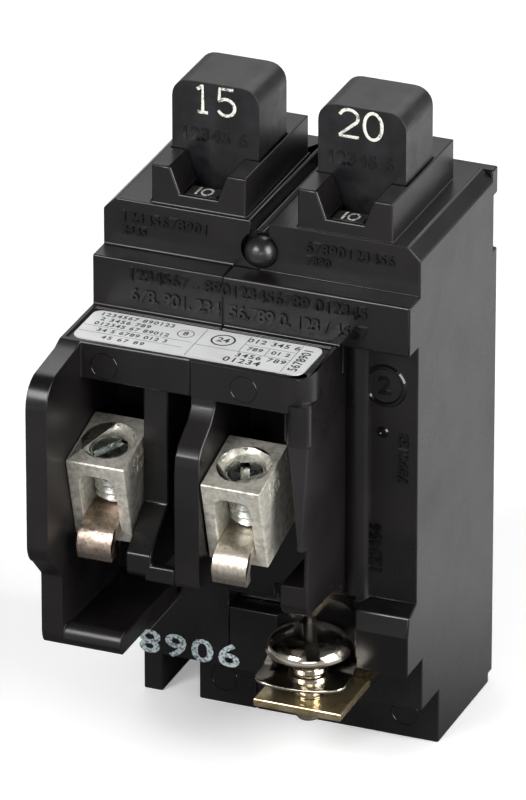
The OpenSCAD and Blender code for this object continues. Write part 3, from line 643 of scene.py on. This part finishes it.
label_z = label_high.z / MM
rule = 0.09
ruled = [
    [(-24, -6.6), (-6.6, -6.6)], [(-24, -8.7), (-7.4, -8.7)], [(-6.1, -1.6), (-6.1, -10.9)],
    [(-6.1, -6.9), (0.9, -6.9)], [(0.9, -1.6), (0.9, -6.9)], [(0.9, -4.3), (9.2, -4.3)],
    [(0.9, -6.9), (9.2, -6.9)], [(5.0, -4.3), (5.0, -6.9)], [(9.2, -1.6), (9.2, -10.9)],
]
print_lines = [painted([line], rule, facing_up(0, 0, label_z), 0.01) for line in ruled]
print_lines += [
    figures("1234567 890123", 1.08, 0.012, facing_up(-17.0, -2.5, label_z), 1.2, 0.03),
    figures("2 3456 789", 1.08, 0.012, facing_up(-18.3, -4.1, label_z), 1.2, 0.03),
    figures("012345 67 89012", 1.08, 0.012, facing_up(-16.7, -5.7, label_z), 1.15, 0.03),
    figures("34 5 6789 012 3", 1.08, 0.012, facing_up(-15.8, -7.7, label_z), 1.15, 0.03),
    figures("45 67 89", 1.08, 0.012, facing_up(-16.4, -9.9, label_z), 1.3, 0.03),
    figures("8", 1.25, 0.012, facing_up(-8.6, -4.2, label_z), 1.0, 0.03),
    pin_mark(1.25, facing_up(-8.6, -4.2, label_z), 0.14, 0.012),
    figures("24", 1.48, 0.012, facing_up(-2.6, -4.2, label_z), 1.0, 0.03),
    pin_mark(1.75, facing_up(-2.6, -4.2, label_z), 0.3, 0.012),
    figures("012 345 6", 1.31, 0.012, facing_up(5.0, -2.8, label_z), 1.15, 0.03),
    figures("789", 1.14, 0.012, facing_up(3.0, -5.5, label_z), 1.1, 0.03),
    figures("01 2", 1.14, 0.012, facing_up(7.1, -5.5, label_z), 1.1, 0.03),
    figures("3456 789", 1.31, 0.012, facing_up(4.9, -8.0, label_z), 1.2, 0.03),
    figures("01234", 1.54, 0.012, facing_up(2.6, -9.9, label_z), 1.15, 0.03),
    figures("5678901", 1.54, 0.012, facing_up(10.7, -6.3, label_z, 90), 1.05, 0.03),
]
print_ink = stamping_ink("print_ink", (0.035, 0.035, 0.038), 0.3)
one_piece("label_print", print_lines, print_ink, "housing")


# ---- Wire lugs and their set screws -----------------------------------------------------
# Extruded aluminium boxes, tin plated and tumbled, so their faces are sandy and their corners
# soft. Each has a zinc plated slotted screw that runs in the thread tapped through its roof.
def plated_metal(name, bright, dull, rough, patch_scale, grain_scale, grain, marks=0.0, shine=1.0):
    """Metal with plating that varies in patches and a fine grain that catches the light."""
    finish = bpy.data.materials.new(name)
    finish.use_nodes = True
    nodes, links = finish.node_tree.nodes, finish.node_tree.links
    shader = nodes["Principled BSDF"]
    shader.inputs["Metallic"].default_value = shine
    place = nodes.new("ShaderNodeTexCoord")
    patch = nodes.new("ShaderNodeTexNoise")
    patch.inputs["Scale"].default_value = patch_scale
    patch.inputs["Detail"].default_value = 7
    patch.inputs["Roughness"].default_value = 0.62
    links.new(place.outputs["Object"], patch.inputs["Vector"])
    tone = nodes.new("ShaderNodeValToRGB")
    tone.color_ramp.elements[0].position = 0.34
    tone.color_ramp.elements[0].color = dull + (1,)
    tone.color_ramp.elements[1].position = 0.6
    tone.color_ramp.elements[1].color = bright + (1,)
    links.new(patch.outputs["Fac"], tone.inputs["Fac"])
    links.new(tone.outputs["Color"], shader.inputs["Base Color"])
    satin = nodes.new("ShaderNodeMapRange")
    satin.inputs["From Min"].default_value = 0.35
    satin.inputs["From Max"].default_value = 0.65
    satin.inputs["To Min"].default_value = rough[1]
    satin.inputs["To Max"].default_value = rough[0]
    links.new(patch.outputs["Fac"], satin.inputs["Value"])
    links.new(satin.outputs["Result"], shader.inputs["Roughness"])
    sand = nodes.new("ShaderNodeTexNoise")
    sand.inputs["Scale"].default_value = grain_scale
    sand.inputs["Detail"].default_value = 4
    links.new(place.outputs["Object"], sand.inputs["Vector"])
    bump = nodes.new("ShaderNodeBump")
    bump.inputs["Strength"].default_value = grain
    bump.inputs["Distance"].default_value = 0.0001
    links.new(sand.outputs["Fac"], bump.inputs["Height"])
    links.new(bump.outputs["Normal"], shader.inputs["Normal"])
    if marks:
        drawn = nodes.new("ShaderNodeMapping")
        drawn.inputs["Scale"].default_value = (1.0, 1.0, marks)
        links.new(place.outputs["Object"], drawn.inputs["Vector"])
        links.new(drawn.outputs["Vector"], sand.inputs["Vector"])
    return finish


def turned(name, outline, steps=72):
    """Spins an outline of (radius, height) in millimetres round the Z axis."""
    shape = bmesh.new()
    verts = [shape.verts.new((radius * MM, 0, height * MM)) for radius, height in outline]
    edges = [shape.edges.new(pair) for pair in zip(verts, verts[1:])]
    bmesh.ops.spin(shape, geom=verts + edges, cent=(0, 0, 0), axis=(0, 0, 1), angle=2 * pi, steps=steps,
                   use_merge=True)
    bmesh.ops.remove_doubles(shape, verts=shape.verts, dist=0.001 * MM)
    bmesh.ops.recalc_face_normals(shape, faces=shape.faces)
    mesh = bpy.data.meshes.new(name)
    shape.to_mesh(mesh)
    shape.free()
    return mesh


def thread(radius, depth, pitch, bottom, top):
    """The ridges of a screw thread between two heights."""
    ridges = []
    height = bottom
    while height + pitch <= top:
        ridges += [(radius - depth, height), (radius - depth, height + 0.15 * pitch),
                   (radius, height + 0.5 * pitch), (radius, height + 0.65 * pitch)]
        height += pitch
    return ridges + [(radius - depth, height), (radius - depth, top)]


def box_mesh(size, place):
    """A block of a size in millimetres, put in its place."""
    shape = bmesh.new()
    bmesh.ops.create_cube(shape, size=1)
    bmesh.ops.scale(shape, verts=shape.verts, vec=Vector(size) * MM)
    mesh = bpy.data.meshes.new("block")
    shape.to_mesh(mesh)
    shape.free()
    mesh.transform(place)
    return mesh


def slotted(piece, cutter_mesh):
    """Mills a slot out of a piece."""
    cutter = bpy.data.objects.new("slot_cutter", cutter_mesh)
    scene.collection.objects.link(cutter)
    cut = piece.modifiers.new("slot", "BOOLEAN")
    cut.object = cutter
    cut.solver = "EXACT"
    milled = bpy.data.meshes.new_from_object(piece.evaluated_get(depsgraph()))
    piece.modifiers.clear()
    piece.data = milled
    bpy.data.objects.remove(cutter)


def smooth_by_angle(mesh, angle):
    """Smooth shading, with the edges sharper than an angle kept."""
    mesh.polygons.foreach_set("use_smooth", [True] * len(mesh.polygons))
    mesh.set_sharp_from_angle(angle=radians(angle))


LUG_DEPTH, LUG_TILT = 12, 15


def lug_place(side):
    """The middle of a lug's lower front edge, with Z up its tilted front."""
    low, high = (Vector(corner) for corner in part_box("lug_" + side))
    tilt = radians(LUG_TILT)
    foot = Vector(((low.x + high.x) / 2, high.y - LUG_DEPTH * MM * cos(tilt), low.z))
    return Matrix.Translation(foot) @ Matrix.Rotation(tilt, 4, "X")


lug_finish = plated_metal("tinned_aluminium", (0.90, 0.87, 0.77), (0.52, 0.49, 0.42), (0.32, 0.5),
                          900, 2600, 0.8, shine=0.65)
screw_zinc = plated_metal("screw_zinc", (0.88, 0.92, 0.90), (0.5, 0.53, 0.51), (0.2, 0.36),
                          700, 2500, 0.2)
SCREW_LENGTH, SCREW_FOOT, SCREW_SET = 8.8, 4.1, LUG_DEPTH / 2
SCREW_R, THREAD_DEPTH, THREAD_PITCH = 3.06, 0.6, 1.27
STAMP_X, STAMP_Y = 4.7, 5.6     # where the figures lie on a lug's right face
facing_right = Matrix.Rotation(radians(90), 4, "Z") @ Matrix.Rotation(radians(90), 4, "X")
for side, slot_turn in (("left", 52), ("right", 112)):
    lug = rounded_copy("lug_" + side, 0.28 * MM, 3)
    lug.data.materials.append(lug_finish)
    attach(lug, "housing")
    stamps = []
    for text, height in (("4 780", 12.4), ("36 90", 10.6)):
        on_face = Matrix.Translation(Vector((STAMP_X, STAMP_Y, height)) * MM) @ facing_right
        stamps.append(figures(text, 1.25, 0.07, lug_place(side) @ on_face, 1.05, 0.03))
    one_piece("lug_figures_" + side, stamps, lug_finish, "housing")
    outline = ([(0, 0), (2.1, 0), (2.45, 0.3)]
               + thread(SCREW_R, THREAD_DEPTH, THREAD_PITCH, 0.4, SCREW_LENGTH - 0.35)
               + [(2.95, SCREW_LENGTH - 0.3), (2.7, SCREW_LENGTH), (0, SCREW_LENGTH)])
    screw_mesh = turned("set_screw_" + side, outline)
    screw_mesh.transform(Matrix.Rotation(radians(slot_turn), 4, "Z"))
    smooth_by_angle(screw_mesh, 25)
    screw_mesh.materials.append(screw_zinc)
    screw = bpy.data.objects.new("set_screw_" + side, screw_mesh)
    scene.collection.objects.link(screw)
    slot_place = (Matrix.Rotation(radians(slot_turn), 4, "Z")
                  @ Matrix.Translation((0, 0, (SCREW_LENGTH + 0.6) * MM)))
    slotted(screw, box_mesh((8, 1.35, 4.2), slot_place))
    screw.data.transform(lug_place(side) @ Matrix.Translation((0, SCREW_SET * MM, SCREW_FOOT * MM)))
    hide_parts("lug_screw_" + side)
    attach(screw, "lug_screw_" + side)


# ---- Load straps ------------------------------------------------------------------------
# Rolled copper straps that pass through the lugs and curl over at the front: the left one has
# worn to copper, the right one keeps its tin.
strap_finishes = {
    "left": plated_metal("worn_copper", (0.80, 0.66, 0.55), (0.34, 0.25, 0.20), (0.24, 0.45),
                         900, 3000, 0.7, 0.15),
    "right": plated_metal("tinned_copper", (0.86, 0.81, 0.72), (0.50, 0.42, 0.34), (0.28, 0.48),
                          900, 3000, 0.7, 0.15),
}
for side in ("left", "right"):
    strap = rounded_copy("load_strap_" + side, 0.22 * MM)
    strap.data.materials.append(strap_finishes[side])
    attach(strap, "housing")


# ---- Line terminal ----------------------------------------------------------------------
# A brass plate with a nickel plated pan-head bolt through it. Under the head sit a split lock
# ring and a wavy square washer, which rides up and down with the bolt.
brass_finish = plated_metal("passivated_brass", (0.90, 0.76, 0.48), (0.42, 0.31, 0.15), (0.14, 0.3),
                            480, 2400, 0.18, shine=0.92)
nickel_finish = plated_metal("bright_nickel", (0.86, 0.80, 0.70), (0.60, 0.54, 0.45), (0.07, 0.2),
                             300, 1500, 0.05)
plate = rounded_copy("line_strap", 0.25 * MM)
plate.data.materials.append(brass_finish)
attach(plate, "housing")

washer_low, washer_high = (Vector(corner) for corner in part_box("line_washer"))
bolt_low, bolt_high = (Vector(corner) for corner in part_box("line_bolt"))
bolt_x, bolt_y = (washer_low.x + washer_high.x) / 2, (washer_low.y + washer_high.y) / 2
bolt_axis = Matrix.Translation((bolt_x, bolt_y, 0))
washer_half = (washer_high.x - washer_low.x) / 2 / MM
washer_z, crown_z, tip_z = (height / MM for height in (washer_low.z, bolt_high.z, bolt_low.z))
HEAD_R, HEAD_HEIGHT, HEAD_SIDE = 6.6, 3.4, 0.6
BOLT_R = 2.5
WASHER_LIFT, WASHER_REST, WASHER_TURN = 0.85, 0.15, 7
RING_R, RING_LOW, RING_HIGH = 3.1, 0.75, 1.65    # the ring's heights are above the washer's foot
head_z = crown_z - HEAD_HEIGHT


def wavy_washer():
    """A square washer pressed into a wave, with its corners lifted."""
    shape = bmesh.new()
    hole = bmesh.ops.create_circle(shape, segments=64, radius=(BOLT_R + 0.25) * MM)["verts"]
    rim = bmesh.ops.create_circle(shape, segments=64, radius=washer_half * MM)["verts"]
    for vert in rim:
        angle = Vector((vert.co.x, vert.co.y)).angle_signed(Vector((1, 0)))
        square = (abs(cos(angle)) ** 7 + abs(sin(angle)) ** 7) ** (-1 / 7)
        vert.co *= square
    inner = [edge for edge in shape.edges if edge.verts[0] in hole]
    outer = [edge for edge in shape.edges if edge.verts[0] in rim]
    bmesh.ops.bridge_loops(shape, edges=inner + outer)
    spokes = [edge for edge in shape.edges if (edge.verts[0] in hole) != (edge.verts[1] in hole)]
    bmesh.ops.subdivide_edges(shape, edges=spokes, cuts=9, use_grid_fill=True)
    for vert in shape.verts:
        x, y = vert.co.x / MM / washer_half, vert.co.y / MM / washer_half
        vert.co.z = WASHER_LIFT * x * x * abs(y) * MM
    bmesh.ops.recalc_face_normals(shape, faces=shape.faces)
    mesh = bpy.data.meshes.new("wavy_washer")
    shape.to_mesh(mesh)
    shape.free()
    mesh.transform(bolt_axis @ Matrix.Translation((0, 0, (washer_z + WASHER_REST) * MM))
                   @ Matrix.Rotation(radians(WASHER_TURN), 4, "Z"))
    return mesh


washer_mesh = wavy_washer()
smooth_by_angle(washer_mesh, 40)
washer_mesh.materials.append(nickel_finish)
washer = bpy.data.objects.new("wavy_washer", washer_mesh)
scene.collection.objects.link(washer)
sheet = washer.modifiers.new("sheet", "SOLIDIFY")
sheet.thickness = 0.45 * MM
sheet.offset = 0
edge_round = washer.modifiers.new("edge", "BEVEL")
edge_round.width = 0.1 * MM
edge_round.segments = 2
edge_round.limit_method = "ANGLE"
edge_round.angle_limit = radians(50)
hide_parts("line_washer")
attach(washer, "line_bolt")


def lock_ring(inner, outer, low, high):
    """A split spring ring: a square wire wound once round, with its ends a little apart."""
    shape = bmesh.new()
    thick = (high - low) * 0.7
    corners = [(inner, low), (outer, low), (outer, low + thick), (inner, low + thick)]
    verts = [shape.verts.new((radius * MM, 0, height * MM)) for radius, height in corners]
    face = shape.faces.new(verts)
    steps = 60
    rise = (high - low - thick) / steps
    bmesh.ops.spin(shape, geom=[face] + verts + face.edges[:], cent=(0, 0, 0), axis=(0, 0, 1),
                   dvec=(0, 0, rise * MM), angle=radians(346), steps=steps)
    bmesh.ops.recalc_face_normals(shape, faces=shape.faces)
    mesh = bpy.data.meshes.new("lock_ring")
    shape.to_mesh(mesh)
    shape.free()
    mesh.transform(bolt_axis @ Matrix.Rotation(radians(200), 4, "Z"))
    return mesh


ring_mesh = lock_ring(BOLT_R + 0.1, RING_R, washer_z + RING_LOW, washer_z + RING_HIGH)
one_piece("lock_ring", [ring_mesh], nickel_finish, "line_bolt")

DOME_FULLNESS = 0.62
dome_rise = crown_z - head_z - HEAD_SIDE
dome = [(HEAD_R * cos(radians(angle)) ** DOME_FULLNESS, head_z + HEAD_SIDE + dome_rise * sin(radians(angle)))
        for angle in range(0, 90, 6)]
bolt_outline = ([(0, tip_z), (1.7, tip_z), (1.95, tip_z + 0.4)]
                + thread(BOLT_R, 0.4, 0.8, tip_z + 0.5, head_z - 0.2)
                + [(2.3, head_z), (HEAD_R - 0.7, head_z), (HEAD_R - 0.2, head_z + 0.3)]
                + dome + [(0, crown_z)])
bolt_mesh = turned("pan_head_bolt", bolt_outline, 96)
smooth_by_angle(bolt_mesh, 30)
bolt_mesh.materials.append(nickel_finish)
bolt = bpy.data.objects.new("pan_head_bolt", bolt_mesh)
scene.collection.objects.link(bolt)
slot_place = Matrix.Rotation(radians(28), 4, "Z") @ Matrix.Translation((0, 0, crown_z * MM))
slotted(bolt, box_mesh((2.1, 16, 3.9), slot_place))
bolt.data.transform(bolt_axis)
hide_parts("line_bolt")
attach(bolt, "line_bolt")


# ---- Mechanism inside -------------------------------------------------------------------
# The parts behind the covers keep their CAD shapes: copper contact arms and braids, steel
# levers and pins, silver contact faces, and arc plates held between two fibre boards.
def fibre_board():
    """Brown pressed fibre."""
    finish = bpy.data.materials.new("fibre_board")
    finish.use_nodes = True
    nodes, links = finish.node_tree.nodes, finish.node_tree.links
    shader = nodes["Principled BSDF"]
    shader.inputs["Roughness"].default_value = 0.8
    place = nodes.new("ShaderNodeTexCoord")
    pulp = nodes.new("ShaderNodeTexNoise")
    pulp.inputs["Scale"].default_value = 900
    pulp.inputs["Detail"].default_value = 8
    links.new(place.outputs["Object"], pulp.inputs["Vector"])
    tone = nodes.new("ShaderNodeValToRGB")
    tone.color_ramp.elements[0].position = 0.35
    tone.color_ramp.elements[0].color = (0.30, 0.235, 0.145, 1)
    tone.color_ramp.elements[1].position = 0.65
    tone.color_ramp.elements[1].color = (0.46, 0.38, 0.26, 1)
    links.new(pulp.outputs["Fac"], tone.inputs["Fac"])
    links.new(tone.outputs["Color"], shader.inputs["Base Color"])
    return finish


spring_steel = plated_metal("spring_steel", (0.62, 0.62, 0.62), (0.40, 0.40, 0.39), (0.2, 0.35),
                            600, 2500, 0.1)
inner_finishes = {
    "contact_arm": strap_finishes["left"],
    "braid": plated_metal("braid_copper", (0.72, 0.45, 0.31), (0.40, 0.23, 0.15), (0.35, 0.5),
                          1500, 5000, 0.6),
    "moving_contact": plated_metal("contact_silver", (0.82, 0.81, 0.79), (0.55, 0.54, 0.52), (0.2, 0.4),
                                   700, 2500, 0.2),
    "armature": plated_metal("magnet_iron", (0.42, 0.42, 0.43), (0.24, 0.24, 0.25), (0.35, 0.55),
                             400, 1800, 0.3),
    "bimetal": plated_metal("rolled_bimetal", (0.60, 0.55, 0.47), (0.38, 0.34, 0.28), (0.25, 0.4),
                            300, 1600, 0.2, 0.1),
    "calibration_screw": brass_finish,
    "arc_boards": fibre_board(),
    "arc_plates": spring_steel,
    "button_spring": spring_steel,
    "cradle": screw_zinc,
    "arm_pin": screw_zinc,
}
like = {"fixed_contact": "moving_contact", "magnet_yoke": "armature", "flag_pin": "arm_pin",
        "cradle_pin": "arm_pin", "armature_pin": "arm_pin"}
for side in ("left", "right"):
    for kind in list(inner_finishes) + list(like):
        inner_part = frame["nodes"][kind + "_" + side]
        inner_part.material_slots[0].material = inner_finishes[like.get(kind, kind)]

# ---- Cover screws -----------------------------------------------------------------------
# Four slotted screws, sunk in the back cover, that hold the shells and the cover together.
cover_screws = rounded_copy("cover_screws", 0.15 * MM)
cover_screws.data.materials.append(screw_zinc)
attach(cover_screws, "housing")
